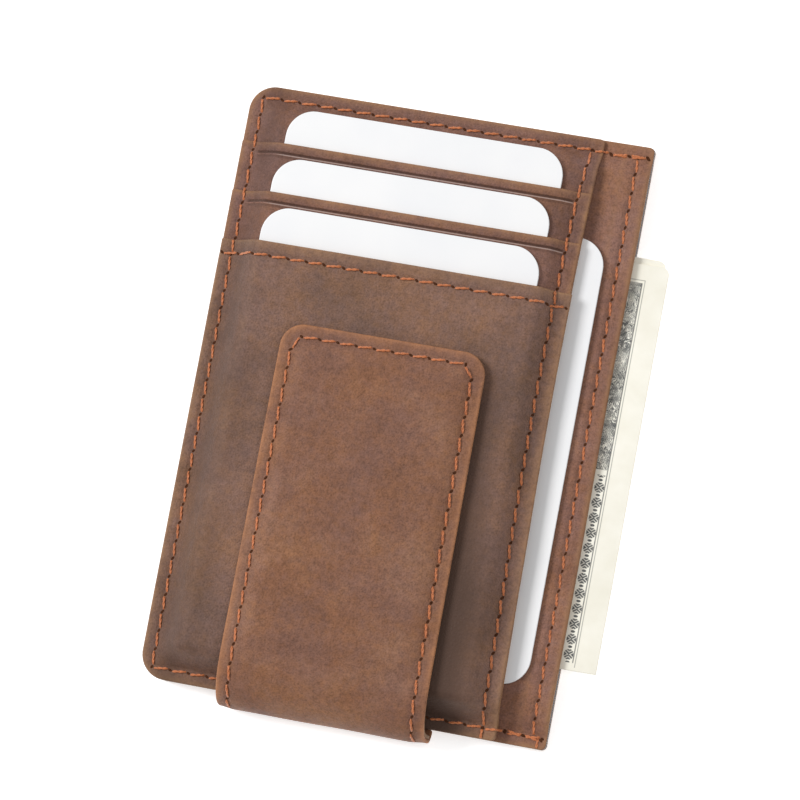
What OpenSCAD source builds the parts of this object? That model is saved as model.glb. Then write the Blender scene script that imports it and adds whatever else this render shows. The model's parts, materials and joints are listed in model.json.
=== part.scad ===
// Front-pocket leather wallet with a magnetic money clip, lying on its back.
// +X is the open side of the pockets, +Y the card end, +Z out of the front.
// The origin is the middle of the back panel's outer face. Millimetres.

/* [Wallet] */
// Width of the wallet, closed side to open side
wallet_w = 78.8; // [78.4:0.1:79.5]
// Height of the wallet, strap end to card end
wallet_h = 116; // [115:0.1:117]
// Radius of the two corners on the closed side
closed_corner_r = 5; // [3:0.5:6]
// Radius of the two corners on the open side
open_corner_r = 1; // [0.5:0.5:2]

/* [Leather] */
// Thickness of the back panel
back_t = 1.2; // [1:0.1:1.4]
// Thickness of the panel between the cash pocket and the side slot
base_t = 1; // [0.8:0.1:1.2]
// Thickness of the slot backing and of the slot strips
pocket_t = 0.8; // [0.7:0.1:1]
// Thickness of the front pocket panel
front_t = 1.2; // [1.1:0.1:1.4]
// Thickness that pocket leather is thinned to under a seam
skived_t = 0.55; // [0.5:0.05:0.65]
// Thickness that the front panel is thinned to under a seam
front_skived_t = 0.7; // [0.6:0.05:0.8]
// Thickness of the cloth and shield linings
lining_t = 0.15; // [0.1:0.01:0.15]
// Width of the flat band that a seam holds together
seam_margin = 3; // [2.8:0.1:3]
// Width over which a panel rises from its seam to its full height
seam_slope = 3; // [2.5:0.1:3]

/* [Pockets] */
// Width of the card stack, closed side to side slot
stack_w = 69.3; // [69.1:0.1:70]
// Width of the flat seam at the open side of the card stack
stack_margin = 3.3; // [3.1:0.1:3.3]
// Clear height of a card slot
card_gap = 0.86; // [0.84:0.01:0.95]
// Clear height of the cash pocket
cash_gap = 1.2; // [1.2:0.05:1.5]
// Distance from the card end down to the first slot edge
first_slot_y = 11.2; // [10.8:0.1:11.6]
// Distance from one slot edge to the next
slot_pitch = 9.8; // [9.6:0.1:10]
// Height of the leather in a slot strip
strip_h = 15.5; // [14:0.5:16]
// Depth of the crease pressed below a slot edge
crease_depth = 0.25; // [0.1:0.05:0.3]
// Width of the leather turned under along the open side
hem_w = 5.5; // [5:0.1:6]

/* [Money clip] */
// Width of the clip strap
clip_w = 40; // [40:0.5:42]
// Sideways place of the strap's middle
clip_x = -3.2; // [-4:0.1:-3]
// Distance from the wallet's strap end to the clip's tip
clip_reach = 70.5; // [69.5:0.1:72]
// Thickness of the clip's outer leather
clip_outer_t = 1.1; // [1:0.1:1.2]
// Thickness of the clip's inner leather
clip_inner_t = 0.8; // [0.7:0.1:0.9]
// Thickness of the stiffener and the magnets inside the clip
clip_core_t = 1; // [0.8:0.1:1.2]
// Radius of the two corners at the clip's tip
clip_corner_r = 4.5; // [3:0.5:5]
// Outer radius of the fold that carries the clip
fold_r = 2.9; // [2.8:0.1:3]
// Clearance between the closed clip and the front panel
clip_gap = 0.15; // [0.1:0.05:0.3]
// Diameter of a magnet
magnet_d = 13; // [10:0.5:13]
// Thickness of a magnet in the wallet's front
body_magnet_t = 0.8; // [0.6:0.1:0.8]
// Distance between the two magnets' middles
magnet_pitch = 15.6; // [15:0.1:15.6]
// Distance from the wallet's strap end to the magnets' middles
magnet_y = 57; // [50:0.5:57]

/* [Stitching] */
// Distance from one stitch to the next
stitch_pitch = 3.5; // [3:0.1:4]
// Length of one stitch
stitch_l = 2.7; // [2:0.1:2.8]
// Width of the thread
thread_w = 0.6; // [0.4:0.1:0.7]
// Height of the thread over the leather
thread_h = 0.25; // [0.15:0.05:0.25]
// Distance from the wallet's edge to its seam
seam_inset = 2.1; // [1.8:0.1:2.2]
// Distance from the clip's edge to its seam
clip_seam_inset = 2.4; // [2:0.1:2.6]

/* [Cards and notes] */
// Width of a card
card_w = 53.98; // [53.9:0.01:54]
// Height of a card
card_h = 85.6; // [85.5:0.01:85.7]
// Thickness of a card
card_t = 0.76; // [0.7:0.01:0.8]
// Corner radius of a card
card_corner_r = 5.3; // [3.1:0.1:5.5]
// Distance from the closed side to the first card
first_card_x = 8.8; // [8:0.1:8.9]
// Distance from the closed side to the other two cards
card_x = 8.2; // [7.5:0.1:8.9]
// Distance from the card end down to the first card's top
first_card_y = 4.1; // [3.8:0.05:4.3]
// How far each later card stands above its slot edge
card_show = 7; // [6.2:0.1:7.3]
// How far the side card stands out of its slot
side_card_show = 4; // [3:0.1:5]
// Height of the side card's lower end above the strap end
side_card_y = 10.8; // [8:0.1:12]
// Length of a banknote, across the wallet
note_w = 66.3; // [66:0.1:67]
// Height of a banknote folded once
note_h = 78; // [77:0.1:79]
// Thickness of one leaf of a folded note
leaf_t = 0.15; // [0.1:0.01:0.15]
// How far the top note stands out of the cash pocket
note_show = 6.8; // [4:0.1:8]
// Height of the top note's fold above the strap end
note_y = 15.7; // [12:0.1:18]

/* [Hidden] */
$fn = 64;

// Edges of the wallet and of the card stack.
left = -wallet_w / 2;
right = wallet_w / 2;
bottom = -wallet_h / 2;
top = wallet_h / 2;
stack_right = left + stack_w;

// How far a sheet or a cut is drawn past its outline before it is trimmed.
spill = 2;
// Height of a block that holds the whole wallet.
block_h = 20;

// Heights in the raised middle of the wallet, from the back outwards.
cash_low = back_t + lining_t;
cash_high = cash_low + cash_gap;
base_low = cash_high + lining_t;
base_high = base_low + base_t;
backing_low = base_high + card_gap;
backing_high = backing_low + pocket_t;
strip_low = [
    backing_high + card_gap,
    backing_high + 2 * card_gap + pocket_t
];
front_lining_low = strip_low[1] + pocket_t + card_gap;
front_low = front_lining_low + lining_t;
front_high = front_low + front_t;

// Heights where the same layers are sewn together round the wallet's edge.
base_edge = back_t + 2 * lining_t;
backing_edge = base_edge + skived_t;
strip_edge = [backing_edge + skived_t, backing_edge + 2 * skived_t];
front_lining_edge = strip_edge[1] + skived_t;
front_edge = front_lining_edge + lining_t;

// Heights where the slots are sewn to the backing at the card stack's open side.
strip_side = [backing_high, backing_high + skived_t];
front_lining_side = strip_side[1] + skived_t;
front_side = front_lining_side + lining_t;

// Upper edges of the two slot strips and of the front pocket panel.
slot_edge = [for (i = [0:2]) top - first_slot_y - i * slot_pitch];

// The fold that carries the clip, and the clip's own levels.
fold_clearance = 0.1;
fold_y = bottom - fold_clearance;
tail_t = back_t / 2;
tail_l = 9;
fold_z = back_t - tail_t + fold_r;
clip_left = clip_x - clip_w / 2;
clip_right = clip_x + clip_w / 2;
clip_tip = bottom + clip_reach;
clip_root_z = fold_z + fold_r + fold_clearance;
clip_low = front_high + clip_gap;
clip_mid = clip_low + clip_inner_t;
clip_core_high = clip_mid + clip_core_t;
clip_ramp_y = bottom + 5.2;
clip_core_y = bottom + 12;
clip_root_corner_r = 0.2;
clip_margin = 3.6;
clip_slope = 1.6;
clip_skived_t = 0.8;
board_corner_r = 1;
magnet_play = 0.05;
magnets_y = bottom + magnet_y;

// Creases, grooves and stitch rows.
crease_w = 0.5;
crease_drop = 1.8;
hem_t = 0.45;
hem_seam_inset = 2.9;
groove_w = 0.9;
groove_depth = 0.3;
pocket_edge_inset = 2.8;
stack_seam_x = stack_right - 2.7;
row_end = 1.2;
raised_inset = seam_margin + seam_slope + 0.5;
thread_r = 0.3;
floor_drop = 0.7;

// Places of the cards and notes.
card_lift = (card_gap - card_t) / 2;
card_low = [
    backing_high + card_lift,
    strip_low[0] + pocket_t + card_lift,
    strip_low[1] + pocket_t + card_lift
];
card_top = [top - first_card_y, slot_edge[1] + card_show, slot_edge[2] + card_show];
card_left = [left + first_card_x, left + card_x, left + card_x];
note_lift = 0.03;
note_low = cash_low + note_lift;
note_leaf_gap = 0.05;
note_t = 2 * leaf_t + note_leaf_gap;
note_corner_r = 0.6;
second_note_shift = [-0.9, 1.2];

leather = "#7d5a4a";
leather_dark = "#6a4a3c";
leather_edge = "#94704f";
thread = "#b5633c";
cloth = "#3d302b";
shield = "#a9a9ad";
board = "#5c5048";
metal = "#b9bcc0";
card_white = "#f4f4f2";
note_cream = "#e9e4d2";

// A flat outline with one radius for each corner, from lower left anticlockwise.
module plate_outline(x0, x1, y0, y1, radii) {
    polygon([
        [x0 + radii[0], y0],
        [x1 - radii[1], y0],
        [x1, y0 + radii[1]],
        [x1, y1 - radii[2]],
        [x1 - radii[2], y1],
        [x0 + radii[3], y1],
        [x0, y1 - radii[3]],
        [x0, y0 + radii[0]]
    ]);
    translate([x0 + radii[0], y0 + radii[0]]) circle(radii[0]);
    translate([x1 - radii[1], y0 + radii[1]]) circle(radii[1]);
    translate([x1 - radii[2], y1 - radii[2]]) circle(radii[2]);
    translate([x0 + radii[3], y1 - radii[3]]) circle(radii[3]);
}

// The wallet's outline.
module wallet_outline() {
    plate_outline(
        left, right, bottom, top,
        [closed_corner_r, open_corner_r, open_corner_r, closed_corner_r]
    );
}

// The wallet's outline as a block, cut to a range across and a range along.
module wallet_region(x1, y0, y1) {
    intersection() {
        linear_extrude(block_h) wallet_outline();
        translate([left - spill, y0, 0]) cube([x1 - left + spill, y1 - y0, block_h]);
    }
}

// Points of a sheet's height along one direction: where it starts and where it ends.
function sewn_start(a, z_edge, z_mid) = [
    [a - spill, z_edge],
    [a + seam_margin, z_edge],
    [a + seam_margin + seam_slope, z_mid]
];
function sewn_end(b, margin, z_mid, z_edge) = [
    [b - margin - seam_slope, z_mid],
    [b - margin, z_edge],
    [b + spill, z_edge]
];
function open_start(a, z_mid) = [[a - spill, z_mid]];
function open_end(b, z_mid) = [[b + spill, z_mid]];

// Closes a height profile down to the floor.
function closed(profile) = concat(
    [[profile[0][0], 0]],
    profile,
    [[profile[len(profile) - 1][0], 0]]
);
function span(profile) = profile[len(profile) - 1][0] - profile[0][0];

// Everything below the lower of two height profiles, one across and one along.
module beneath(across, along) {
    intersection() {
        translate([0, along[0][0] + span(along), 0])
            rotate([90, 0, 0])
            linear_extrude(span(along))
            polygon(closed(across));
        translate([across[0][0], 0, 0])
            rotate([90, 0, 90])
            linear_extrude(span(across))
            polygon(closed(along));
    }
}

// A sheet that lies between its lower and its upper heights, trimmed by a block.
module draped_sheet(across_low, along_low, across_high, along_high) {
    intersection() {
        difference() {
            beneath(across_high, along_high);
            beneath(across_low, along_low);
        }
        children();
    }
}

// A pocket layer, sewn at the closed side, at the card stack's open side and,
// if it reaches it, at the strap end. Edge and side are its seam heights.
module pocket_layer(edge, side, mid, thin_t, thick_t, y0, y1, to_seam) {
    draped_sheet(
        concat(sewn_start(left, edge, mid), sewn_end(stack_right, stack_margin, mid, side)),
        concat(to_seam ? sewn_start(y0, edge, mid) : open_start(y0, mid), open_end(y1, mid)),
        concat(
            sewn_start(left, edge + thin_t, mid + thick_t),
            sewn_end(stack_right, stack_margin, mid + thick_t, side + thin_t)
        ),
        concat(
            to_seam ? sewn_start(y0, edge + thin_t, mid + thick_t) : open_start(y0, mid + thick_t),
            open_end(y1, mid + thick_t)
        )
    )
        wallet_region(stack_right, y0, y1);
}

// A panel sewn at the closed side, the strap end and the card end, open at x1.
module open_side_panel(edge, mid, thin_t, thick_t, x1) {
    draped_sheet(
        concat(sewn_start(left, edge, mid), open_end(x1, mid)),
        concat(sewn_start(bottom, edge, mid), sewn_end(top, seam_margin, mid, edge)),
        concat(sewn_start(left, edge + thin_t, mid + thick_t), open_end(x1, mid + thick_t)),
        concat(
            sewn_start(bottom, edge + thin_t, mid + thick_t),
            sewn_end(top, seam_margin, mid + thick_t, edge + thin_t)
        )
    )
        wallet_region(x1, bottom, top);
}

// One straight row of stitches from one point to another, lying at a height.
module stitch_row(from, to, z) {
    run = norm(to - from);
    stitches = floor(run / stitch_pitch);
    step = (to - from) / stitches;
    turn = atan2(to[1] - from[1], to[0] - from[0]);
    for (i = [0:stitches - 1])
        translate([from[0] + step[0] * (i + 0.5), from[1] + step[1] * (i + 0.5), z])
            rotate([0, 0, turn])
            translate([-stitch_l / 2, -thread_w / 2, 0])
            cube([stitch_l, thread_w, thread_h]);
}

// A row of short thread ties that close the floor of a slot.
module floor_ties(y, z_low, z_high) {
    first = left + raised_inset + row_end;
    last = stack_right - stack_margin - seam_slope - row_end;
    ties = floor((last - first) / stitch_pitch);
    for (i = [0:ties])
        translate([first + (last - first) * i / ties, y, z_low])
            cylinder(r = thread_r, h = z_high - z_low);
}

// Two magnet discs side by side.
module magnet_pair(z, r, h) {
    for (side = [-1, 1])
        translate([clip_x + side * magnet_pitch / 2, magnets_y, z])
            cylinder(r = r, h = h);
}

// A profile in the Y-Z plane drawn across the width of the strap.
module across_strap() {
    translate([clip_left, 0, 0])
        rotate([90, 0, 90])
        linear_extrude(clip_w)
        children();
}

// The clip's outline as a tall block.
module clip_region() {
    linear_extrude(block_h)
        plate_outline(
            clip_left, clip_right, fold_y, clip_tip,
            [clip_root_corner_r, clip_root_corner_r, clip_corner_r, clip_corner_r]
        );
}

// A plain card lying with its lower left corner at a point.
module card(x, y, z, w, h) {
    translate([0, 0, z])
        linear_extrude(card_t)
        plate_outline(x, x + w, y, y + h, card_corner_r * [1, 1, 1, 1]);
}

// A note folded once, its two leaves joined by the fold.
module folded_note(x1, y0, z) {
    x0 = x1 - note_w;
    corners = note_corner_r * [1, 1, 1, 1];
    for (leaf = [0:1])
        translate([0, 0, z + leaf * (leaf_t + note_leaf_gap)])
            linear_extrude(leaf_t)
            plate_outline(x0, x1, y0, y0 + note_h, corners);
    translate([x0 + note_corner_r, y0, z])
        cube([note_w - 2 * note_corner_r, leaf_t, note_t]);
}

module back_panel() {
    color(leather)
        difference() {
            linear_extrude(back_t) wallet_outline();
            translate([clip_left, bottom - spill, back_t - tail_t])
                cube([clip_w, spill + tail_l, back_t]);
        }
}

module back_shield_lining() {
    color(shield)
        translate([0, 0, back_t])
        linear_extrude(lining_t)
        wallet_outline();
}

module cash_pocket_lining() {
    color(cloth)
        open_side_panel(cash_low, cash_high, lining_t, lining_t, right - hem_w);
}

module base_panel() {
    color(leather) {
        difference() {
            open_side_panel(base_edge, base_low, skived_t, base_t, right);
            translate([
                right - hem_seam_inset - groove_w / 2,
                bottom + raised_inset,
                base_high - groove_depth
            ])
                cube([groove_w, wallet_h - 2 * raised_inset, groove_depth + spill]);
        }
        translate([right - hem_w, bottom + raised_inset, base_low - hem_t])
            cube([hem_w, wallet_h - 2 * raised_inset, hem_t]);
    }
}

module slot_backing_panel() {
    color(leather_dark)
        open_side_panel(backing_edge, backing_low, skived_t, pocket_t, stack_right);
}

module slot_strip(i) {
    color(leather_edge)
        difference() {
            pocket_layer(
                strip_edge[i], strip_side[i], strip_low[i], skived_t, pocket_t,
                slot_edge[i] - strip_h, slot_edge[i], false
            );
            translate([
                left + raised_inset,
                slot_edge[i] - crease_drop - crease_w,
                strip_low[i] + pocket_t - crease_depth
            ])
                cube([stack_w - stack_margin - seam_slope - raised_inset, crease_w, spill]);
        }
}

module slot_lining(i) {
    color(cloth)
        pocket_layer(
            strip_edge[i], strip_side[i], strip_low[i], skived_t, skived_t,
            bottom, slot_edge[i] - strip_h, true
        );
}

module slot_strip_1() { slot_strip(0); }
module slot_strip_2() { slot_strip(1); }
module slot_lining_1() { slot_lining(0); }
module slot_lining_2() { slot_lining(1); }

module front_pocket_lining() {
    color(cloth)
        pocket_layer(
            front_lining_edge, front_lining_side, front_lining_low, lining_t, lining_t,
            bottom, slot_edge[2], true
        );
}

module front_pocket_panel() {
    color(leather)
        difference() {
            pocket_layer(
                front_edge, front_side, front_low, front_skived_t, front_t,
                bottom, slot_edge[2], true
            );
            magnet_pair(front_low - spill, magnet_d / 2 + magnet_play, spill + body_magnet_t);
        }
}

module front_magnets() {
    color(metal) magnet_pair(front_low, magnet_d / 2, body_magnet_t);
}

// The strap's fold stands clear of the wallet's edge; its tail is in the seam.
module strap_fold() {
    color(leather_edge)
        across_strap() {
            translate([fold_y, fold_z])
                difference() {
                    circle(fold_r);
                    circle(fold_r - clip_outer_t);
                    translate([0, -2 * fold_r]) square(4 * fold_r);
                }
            translate([fold_y, fold_z - fold_r])
                square([bottom - fold_y + tail_l, tail_t]);
        }
}

module perimeter_stitching() {
    row_left = left + seam_inset;
    row_low = bottom + seam_inset;
    row_high = top - seam_inset;
    edge_high = [
        front_edge + front_skived_t,
        strip_edge[1] + skived_t,
        strip_edge[0] + skived_t,
        backing_edge + skived_t
    ];
    breaks = [row_low, slot_edge[2], slot_edge[1], slot_edge[0], row_high];
    color(thread) {
        for (i = [0:3])
            stitch_row([row_left, breaks[i] + row_end], [row_left, breaks[i + 1] - row_end], edge_high[i]);
        stitch_row([row_left + row_end, row_low], [stack_right - row_end, row_low], edge_high[0]);
        stitch_row([row_left + row_end, row_high], [stack_right - row_end, row_high], edge_high[3]);
        for (y = [row_low, row_high])
            stitch_row([stack_right + row_end, y], [right - row_end, y], base_edge + skived_t);
    }
}

module card_stack_stitching() {
    side_high = [
        front_side + front_skived_t,
        strip_side[1] + skived_t,
        strip_side[0] + skived_t,
        backing_high
    ];
    breaks = [bottom + raised_inset, slot_edge[2], slot_edge[1], slot_edge[0], top - raised_inset];
    color(thread)
        for (i = [0:3])
            stitch_row(
                [stack_seam_x, breaks[i] + row_end],
                [stack_seam_x, breaks[i + 1] - row_end / 2],
                side_high[i]
            );
}

module pocket_edge_stitching() {
    row_y = slot_edge[2] - pocket_edge_inset;
    color(thread)
        stitch_row(
            [left + raised_inset, row_y],
            [stack_right - stack_margin - seam_slope - row_end, row_y],
            front_high
        );
}

module hem_stitching() {
    row_x = right - hem_seam_inset;
    color(thread)
        stitch_row(
            [row_x, bottom + raised_inset],
            [row_x, top - raised_inset],
            base_high - groove_depth
        );
}

module slot_floor_stitching() {
    color(thread) {
        floor_ties(card_top[0] - card_h - floor_drop, backing_high, strip_low[0]);
        floor_ties(card_top[1] - card_h - floor_drop, strip_low[0] + skived_t, strip_low[1]);
    }
}

module clip_inner_leather() {
    color(leather_dark)
        intersection() {
            across_strap()
                polygon([
                    [fold_y, clip_root_z],
                    [clip_ramp_y, clip_low],
                    [clip_tip, clip_low],
                    [clip_tip, clip_mid],
                    [clip_ramp_y, clip_mid],
                    [fold_y, clip_root_z + clip_inner_t]
                ]);
            clip_region();
        }
}

// The outer leather rises over the core and lies on the inner leather round it.
module clip_outer_leather() {
    root = clip_root_z + clip_inner_t;
    rise = clip_margin + clip_slope;
    function over_core(edge_t, full_t) = [
        [clip_left - spill, clip_mid + edge_t],
        [clip_left + clip_margin, clip_mid + edge_t],
        [clip_left + rise, clip_core_high + full_t],
        [clip_right - rise, clip_core_high + full_t],
        [clip_right - clip_margin, clip_mid + edge_t],
        [clip_right + spill, clip_mid + edge_t]
    ];
    function along_clip(edge_t, full_t) = [
        [fold_y - spill, root + edge_t],
        [fold_y, root + edge_t],
        [clip_ramp_y, clip_mid + edge_t],
        [clip_core_y - clip_slope, clip_mid + edge_t],
        [clip_core_y, clip_core_high + full_t],
        [clip_tip - rise, clip_core_high + full_t],
        [clip_tip - clip_margin, clip_mid + edge_t],
        [clip_tip + spill, clip_mid + edge_t]
    ];
    color(leather)
        draped_sheet(
            over_core(0, 0), along_clip(0, 0),
            over_core(clip_skived_t, clip_outer_t), along_clip(clip_skived_t, clip_outer_t)
        )
            clip_region();
}

module clip_stiffener() {
    inset = clip_margin + clip_slope;
    color(board)
        difference() {
            translate([0, 0, clip_mid])
                linear_extrude(clip_core_t)
                plate_outline(
                    clip_left + inset, clip_right - inset, clip_core_y, clip_tip - inset,
                    board_corner_r * [1, 1, 1, 1]
                );
            magnet_pair(clip_mid - spill, magnet_d / 2 + magnet_play, clip_core_t + 2 * spill);
        }
}

module clip_magnets() {
    color(metal) magnet_pair(clip_mid, magnet_d / 2, clip_core_t);
}

module clip_stitching() {
    z = clip_mid + clip_skived_t;
    x0 = clip_left + clip_seam_inset;
    x1 = clip_right - clip_seam_inset;
    y0 = clip_ramp_y;
    y1 = clip_tip - clip_seam_inset;
    color(thread) {
        stitch_row([x0, y0], [x0, y1 - row_end], z);
        stitch_row([x0 + row_end, y1], [x1 - row_end, y1], z);
        stitch_row([x1, y0], [x1, y1 - row_end], z);
    }
}

module card_1() {
    color(card_white) card(card_left[0], card_top[0] - card_h, card_low[0], card_w, card_h);
}

module card_2() {
    color(card_white) card(card_left[1], card_top[1] - card_h, card_low[1], card_w, card_h);
}

module card_3() {
    color(card_white) card(card_left[2], card_top[2] - card_h, card_low[2], card_w, card_h);
}

module side_card() {
    color(card_white)
        card(
            stack_right + side_card_show - card_w, bottom + side_card_y,
            base_high + card_lift, card_w, card_h
        );
}

module note_1() {
    color(note_cream)
        folded_note(right + note_show, bottom + note_y, note_low + note_t + note_leaf_gap);
}

module note_2() {
    color(note_cream)
        folded_note(
            right + note_show + second_note_shift[0],
            bottom + note_y + second_note_shift[1],
            note_low
        );
}

back_panel();
back_shield_lining();
cash_pocket_lining();
base_panel();
slot_backing_panel();
slot_strip_1();
slot_strip_2();
slot_lining_1();
slot_lining_2();
front_pocket_lining();
front_pocket_panel();
front_magnets();
strap_fold();
perimeter_stitching();
card_stack_stitching();
pocket_edge_stitching();
hem_stitching();
slot_floor_stitching();
clip_inner_leather();
clip_outer_leather();
clip_stiffener();
clip_magnets();
clip_stitching();
card_1();
card_2();
card_3();
side_card();
note_1();
note_2();
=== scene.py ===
import json
import math
import random

import bpy
import numpy as np
from mathutils import Matrix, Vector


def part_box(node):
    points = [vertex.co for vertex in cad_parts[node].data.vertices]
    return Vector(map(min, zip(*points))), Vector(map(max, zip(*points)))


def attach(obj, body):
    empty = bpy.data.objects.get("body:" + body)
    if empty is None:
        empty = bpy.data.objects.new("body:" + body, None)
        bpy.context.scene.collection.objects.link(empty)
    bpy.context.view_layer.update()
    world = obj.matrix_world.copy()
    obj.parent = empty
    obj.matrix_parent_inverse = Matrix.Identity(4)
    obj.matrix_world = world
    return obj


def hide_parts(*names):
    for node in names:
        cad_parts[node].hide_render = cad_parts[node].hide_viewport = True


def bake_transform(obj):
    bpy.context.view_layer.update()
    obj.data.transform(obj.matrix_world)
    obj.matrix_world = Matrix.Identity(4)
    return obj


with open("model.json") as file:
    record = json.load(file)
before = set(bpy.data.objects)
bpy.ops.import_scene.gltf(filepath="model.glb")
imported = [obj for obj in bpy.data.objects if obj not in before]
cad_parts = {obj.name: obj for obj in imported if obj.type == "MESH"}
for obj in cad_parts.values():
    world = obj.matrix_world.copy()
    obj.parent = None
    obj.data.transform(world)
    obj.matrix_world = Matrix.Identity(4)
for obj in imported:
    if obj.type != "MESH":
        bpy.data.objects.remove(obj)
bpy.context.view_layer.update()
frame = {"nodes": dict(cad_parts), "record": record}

# ----------------------------------------------------------------------------
# Back panel: one piece of oiled cowhide about 1.2 mm thick, cut with two large
# corners on the closed side. Its edge is burnished, and a shallow channel is
# gouged along the seam on its outer face so the thread lies below the surface.
# ----------------------------------------------------------------------------
MM = 0.001


def reach(node):
    """A part's lowest and highest corners in millimetres."""
    low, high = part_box(node)
    return [v / MM for v in low], [v / MM for v in high]


(left, bottom, back_low), (right, top, back_high) = reach("back_panel")
closed_corner = 5.0
open_corner = 1.0
wallet_corners = (closed_corner, open_corner, open_corner, closed_corner)


def rise(d, start, width):
    """0 up to start, then smoothly up to 1 over the width."""
    t = np.clip((np.asarray(d, float) - start) / width, 0, 1)
    return t * t * (3 - 2 * t)


def slope(d, start, width):
    """Like rise, with a straighter and gentler middle."""
    t = np.clip((np.asarray(d, float) - start) / width, 0, 1)
    return 0.5 * t + 0.5 * t * t * (3 - 2 * t)


class Plate:
    """The outline of a cut piece: four sides, four corner radii from lower left
    round to upper left, and how far the two upright sides are drawn in."""

    def __init__(self, x0, x1, y0, y1, corners, in_left=None, in_right=None):
        self.x0, self.x1, self.y0, self.y1 = x0, x1, y0, y1
        self.corners = corners
        self.in_left = in_left or (lambda y: 0 * y)
        self.in_right = in_right or (lambda y: 0 * y)

    def pulled(self, y, low_r, high_r):
        """How far the rounded corners pull an upright side in at a height."""
        pull = 0 * y
        for end, r in ((self.y0, low_r), (self.y1, high_r)):
            t = np.clip(1 - np.abs(y - end) / r, 0, 1)
            pull = np.maximum(pull, r * (1 - np.sqrt(1 - t * t)))
        return pull

    def left_side(self, y):
        return self.x0 + self.in_left(y) + self.pulled(y, self.corners[0], self.corners[3])

    def right_side(self, y):
        return self.x1 - self.in_right(y) - self.pulled(y, self.corners[1], self.corners[2])

    def inset(self, x, y):
        """Distance in from the outline."""
        a = x - self.x0 - self.in_left(y)
        b = self.x1 - self.in_right(y) - x
        c, e = y - self.y0, self.y1 - y
        d = np.minimum(np.minimum(a, b), np.minimum(c, e))
        for (p, q), r in zip(((a, c), (b, c), (b, e), (a, e)), self.corners):
            inside = (p < r) & (q < r)
            d = np.where(inside, r - np.hypot(r - p, r - q), d)
        return np.maximum(d, 0)

    def holds(self, x, y):
        return (
            (x >= self.left_side(y)) & (x <= self.right_side(y)) & (y >= self.y0) & (y <= self.y1)
        )


# Rows of points lie close together near an edge, within this share of a length.
near_split = 2.2
near_edge = [
    0, 0.03, 0.09, 0.18, 0.3, 0.46, 0.66, 0.92, 1.2, 1.45, 1.65, 1.85, 2.05,
    2.25, 2.45, 2.65, 2.9, 3.3, 3.9, 4.6, 5.4, 6.4, 7.6,
]


def spaced(length, step, extra=()):
    """Places along a length, close together near both ends."""
    near = [v for v in near_edge if v < length / near_split]
    count = max(1, int((length - 2 * near[-1]) / step))
    middle = [near[-1] + (length - 2 * near[-1]) * i / count for i in range(1, count)]
    places = sorted(near + middle + [length - v for v in near] + list(extra))
    return np.array([v for i, v in enumerate(places) if i == 0 or v - places[i - 1] > 1e-4])


def looking_out(points, faces):
    """The faces of a closed shape, all turned to look out of it."""
    quads = np.array([face for face in faces if len(face) == 4])
    a, b, c, d = (points[quads[:, i]] - points.mean(0) for i in range(4))
    volume = (a * np.cross(b, c)).sum() + (a * np.cross(c, d)).sum()
    return faces if volume > 0 else [face[::-1] for face in faces]


def finish_mesh(name, points, faces, material, values=None):
    """A smooth mesh in metres from points in millimetres, with named values."""
    points = np.asarray(points, float)
    mesh = bpy.data.meshes.new(name)
    mesh.from_pydata((points * MM).tolist(), [], looking_out(points, faces))
    mesh.validate()
    mesh.polygons.foreach_set("use_smooth", [True] * len(mesh.polygons))
    for key, data in (values or {}).items():
        layer = mesh.attributes.new(key, "FLOAT", "POINT")
        layer.data.foreach_set("value", np.asarray(data, np.float32))
    mesh.materials.append(material)
    piece = bpy.data.objects.new(name, mesh)
    bpy.context.scene.collection.objects.link(piece)
    return piece


nearly_half = 0.47
edge_wear_w = 0.75


def cut_piece(
    name, plate, low, high, material, rim=0.45, step=1.2, extra_rows=(),
    wear=None, press=None, place=None, painted_light=None,
):
    """A sheet with rounded edges between two heights, from a cut outline. Wear
    lightens it, press darkens it, the painted light value darkens it as painted shade
    and, where it is below 0, lightens it as a painted highlight, and place bends it
    into its shape."""
    width = plate.x1 - plate.x0
    ys = plate.y0 + spaced(plate.y1 - plate.y0, step, extra_rows)
    offsets = spaced(width, step)
    fixed = min(near_edge[-1], width / near_split)
    y = np.repeat(ys[:, None], len(offsets), 1)
    v = np.repeat(offsets[None, :], len(ys), 0)
    a, b = plate.left_side(y), plate.right_side(y)
    part = np.clip((v - fixed) / (width - 2 * fixed), 0, 1)
    x = np.where(v <= fixed, a + v, np.where(v >= width - fixed, b - (width - v), 0))
    middle = (a + fixed) * (1 - part) + (b - fixed) * part
    x = np.where((v > fixed) & (v < width - fixed), middle, x)
    d = plate.inset(x, y)
    z0, z1 = low(x, y), high(x, y)
    q = np.minimum(rim, nearly_half * (z1 - z0))
    drop = np.where(d < q, q - np.sqrt(np.maximum(q * q - np.maximum(q - d, 0) ** 2, 0)), 0)
    surfaces = []
    for z in (z1 - drop, z0 + drop):
        px, py, pz = (x, y, z) if place is None else place(x, y, z)
        surfaces.append(np.stack([px, py, pz], -1).reshape(-1, 3))
    rows, cols = x.shape
    index = np.arange(rows * cols).reshape(rows, cols)
    quads = np.stack([index[:-1, :-1], index[:-1, 1:], index[1:, 1:], index[1:, :-1]], -1)
    quads = quads.reshape(-1, 4)
    under = rows * cols
    faces = quads.tolist() + (quads[:, ::-1] + under).tolist()
    loop = np.concatenate([index[0, :], index[1:, -1], index[-1, -2::-1], index[-2:0:-1, 0]])
    turned = np.roll(loop, -1)
    faces += np.stack([loop, loop + under, turned + under, turned], -1).tolist()
    edge = np.exp(-((d / edge_wear_w) ** 2))
    worn = edge if wear is None else np.maximum(edge, wear(x, y))
    pressed = 0 * x if press is None else press(x, y)
    painted_light_amount = 0 * x if painted_light is None else painted_light(x, y)
    return finish_mesh(
        name, np.concatenate(surfaces), faces, material,
        {key: np.tile(value.ravel(), 2)
         for key, value in (("wear", worn), ("press", pressed), ("painted_light", painted_light_amount))},
    )


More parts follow.
